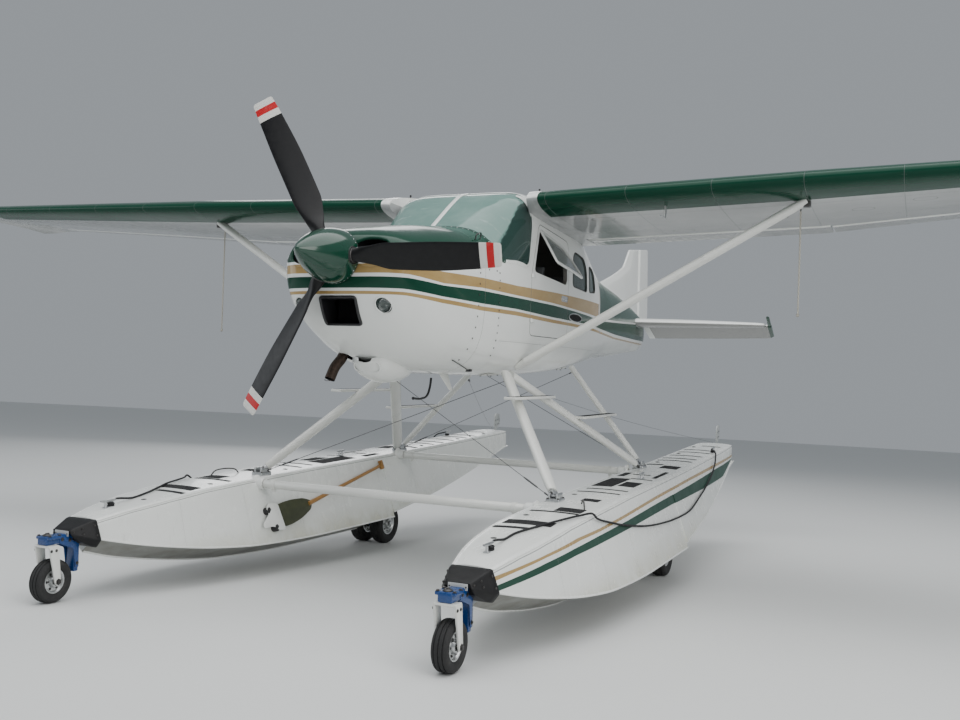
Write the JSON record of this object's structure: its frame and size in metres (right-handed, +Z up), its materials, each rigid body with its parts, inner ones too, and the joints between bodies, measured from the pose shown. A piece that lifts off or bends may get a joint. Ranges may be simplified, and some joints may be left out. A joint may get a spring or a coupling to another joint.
{
  "type": "floatplane",
  "caption": "High-wing strut-braced floatplane on amphibious floats, with turning propeller, wheels, doors, control surfaces and water rudders.",
  "frame": {"origin": "on the ground under the middle of the bounding box", "axes": "+Z up, nose towards -Y, the aircraft's left towards +X"},
  "size_m": [10.92, 8.2598, 3.4309],
  "materials": {
    "white_paint": "glossy white paint",
    "green_paint": "glossy dark green paint",
    "black_paint": "satin black paint with pale and red tip bands",
    "clear_glazing": "clear acrylic",
    "tinted_glazing": "green tinted acrylic",
    "engine_metal": "cast metal",
    "panel_black": "crackle black",
    "seat_fabric": "woven cloth",
    "bumper_rubber": "moulded rubber",
    "blue_leg": "blue anodised",
    "bare_alloy": "bare alloy",
    "tyre": "ribbed rubber on an alloy rim",
    "pale_rope": "laid rope",
    "dark_rope": "braided rope"
  },
  "bodies": {
    "airframe": {"cabin_shell": "white_paint", "cowling": "white_paint", "tail_cone": "white_paint", "fin": "white_paint", "stabilizer": "white_paint", "wing_left": "white_paint", "wing_right": "white_paint", "wing_strut_left": "white_paint", "wing_strut_right": "white_paint", "hull_left": "white_paint", "hull_right": "white_paint", "front_strut_left": "white_paint", "front_strut_right": "white_paint", "rear_strut_pair_left": "white_paint", "rear_strut_pair_right": "white_paint", "spreader_front": "white_paint", "spreader_rear": "white_paint", "side_window_left": "clear_glazing", "side_window_right": "clear_glazing", "windshield": "tinted_glazing", "engine": "engine_metal", "instrument_panel": "panel_black", "seat_front_left": "seat_fabric", "seat_front_right": "seat_fabric", "rear_bench": "seat_fabric", "bow_bumper_left": "bumper_rubber", "bow_bumper_right": "bumper_rubber", "nose_leg_left": "blue_leg", "nose_leg_right": "blue_leg", "main_leg_left": "bare_alloy", "main_leg_right": "bare_alloy", "tie_down_rope_left": "pale_rope", "tie_down_rope_right": "pale_rope", "mooring_line_left": "dark_rope", "mooring_line_right": "dark_rope"},
    "propeller": {"propeller": "black_paint", "spinner": "green_paint"},
    "door_left": {"door_left": "white_paint", "door_window_left": "clear_glazing"},
    "aileron_left": {"aileron_left": "white_paint"},
    "flap_left": {"flap_left": "white_paint"},
    "nose_fork_left": {"nose_fork_left": "white_paint"},
    "nose_wheel_left": {"nose_wheel_left": "tyre"},
    "main_wheels_left": {"main_wheel_left_inner": "tyre", "main_wheel_left_outer": "tyre"},
    "water_rudder_post_left": {"water_rudder_post_left": "bare_alloy"},
    "water_rudder_left": {"water_rudder_left": "white_paint"},
    "door_right": {"door_right": "white_paint", "door_window_right": "clear_glazing"},
    "aileron_right": {"aileron_right": "white_paint"},
    "flap_right": {"flap_right": "white_paint"},
    "nose_fork_right": {"nose_fork_right": "white_paint"},
    "nose_wheel_right": {"nose_wheel_right": "tyre"},
    "main_wheels_right": {"main_wheel_right_inner": "tyre", "main_wheel_right_outer": "tyre"},
    "water_rudder_post_right": {"water_rudder_post_right": "bare_alloy"},
    "water_rudder_right": {"water_rudder_right": "white_paint"},
    "elevator": {"elevator": "white_paint"},
    "rudder": {"rudder": "white_paint"}
  },
  "joints": [
    {"name": "propeller_spin", "type": "hinge", "parent": "airframe", "child": "propeller", "pos_m": [0, -3.25995, 2.12747], "axis": [0, 0.9987, 0.0506], "continuous": true},
    {"name": "door_left_swing", "type": "hinge", "parent": "airframe", "child": "door_left", "pos_m": [0.574, -1.38178, 2.11247], "axis": [0, 0.0506, -0.9987], "range_deg": [0, 74]},
    {"name": "aileron_left_tilt", "type": "hinge", "parent": "airframe", "child": "aileron_left", "pos_m": [3.879, -0.39073, 2.9185], "axis": [0.993, -0.106, 0.0523], "range_deg": [-20, 20]},
    {"name": "flap_left_lower", "type": "hinge", "parent": "airframe", "child": "flap_left", "pos_m": [1.616, -0.28496, 2.82359], "axis": [-0.9995, 0.0042, -0.0309], "range_deg": [0, 38]},
    {"name": "nose_fork_left_caster", "type": "hinge", "parent": "airframe", "child": "nose_fork_left", "pos_m": [1.285, -4.05304, 0.35007], "axis": [0, -0.0506, 0.9987], "range_deg": [-45, 45]},
    {"name": "nose_wheel_left_spin", "type": "hinge", "parent": "nose_fork_left", "child": "nose_wheel_left", "pos_m": [1.285, -4.00365, 0.12628], "axis": [1, 0, 0], "continuous": true},
    {"name": "main_wheels_left_spin", "type": "hinge", "parent": "airframe", "child": "main_wheels_left", "pos_m": [1.285, -0.31864, 0.17978], "axis": [1, 0, 0], "continuous": true},
    {"name": "water_rudder_left_steer", "type": "hinge", "parent": "airframe", "child": "water_rudder_post_left", "pos_m": [1.285, 2.31751, 0.95515], "axis": [0, -0.0506, 0.9987], "range_deg": [-25, 25]},
    {"name": "water_rudder_left_lift", "type": "hinge", "parent": "water_rudder_post_left", "child": "water_rudder_left", "pos_m": [1.285, 2.38249, 1.01652], "axis": [-1, 0, 0], "range_deg": [0, 140]},
    {"name": "door_right_swing", "type": "hinge", "parent": "airframe", "child": "door_right", "pos_m": [-0.574, -1.38178, 2.11247], "axis": [0, -0.0506, 0.9987], "range_deg": [0, 74]},
    {"name": "aileron_right_tilt", "type": "hinge", "parent": "airframe", "child": "aileron_right", "pos_m": [-3.879, -0.39073, 2.9185], "axis": [0.993, 0.106, -0.0523], "range_deg": [-20, 20]},
    {"name": "flap_right_lower", "type": "hinge", "parent": "airframe", "child": "flap_right", "pos_m": [-1.616, -0.28496, 2.82359], "axis": [-0.9995, -0.0042, 0.0309], "range_deg": [0, 38]},
    {"name": "nose_fork_right_caster", "type": "hinge", "parent": "airframe", "child": "nose_fork_right", "pos_m": [-1.285, -4.05304, 0.35007], "axis": [0, -0.0506, 0.9987], "range_deg": [-45, 45]},
    {"name": "nose_wheel_right_spin", "type": "hinge", "parent": "nose_fork_right", "child": "nose_wheel_right", "pos_m": [-1.285, -4.00365, 0.12628], "axis": [1, 0, 0], "continuous": true},
    {"name": "main_wheels_right_spin", "type": "hinge", "parent": "airframe", "child": "main_wheels_right", "pos_m": [-1.285, -0.31864, 0.17978], "axis": [1, 0, 0], "continuous": true},
    {"name": "water_rudder_right_steer", "type": "hinge", "parent": "airframe", "child": "water_rudder_post_right", "pos_m": [-1.285, 2.31751, 0.95515], "axis": [0, -0.0506, 0.9987], "range_deg": [-25, 25]},
    {"name": "water_rudder_right_lift", "type": "hinge", "parent": "water_rudder_post_right", "child": "water_rudder_right", "pos_m": [-1.285, 2.38249, 1.01652], "axis": [-1, 0, 0], "range_deg": [0, 140]},
    {"name": "elevator_tilt", "type": "hinge", "parent": "airframe", "child": "elevator", "pos_m": [0, 3.53313, 2.41652], "axis": [1, 0, 0], "range_deg": [0, 48]},
    {"name": "rudder_turn", "type": "hinge", "parent": "airframe", "child": "rudder", "pos_m": [0, 3.6494, 2.92806], "axis": [0, -0.0506, 0.9987], "range_deg": [-24, 24]}
  ],
  "couplings": [
    {"joint": "aileron_right_tilt", "follows": "aileron_left_tilt", "ratio": -1},
    {"joint": "flap_right_lower", "follows": "flap_left_lower", "ratio": 1}
  ]
}
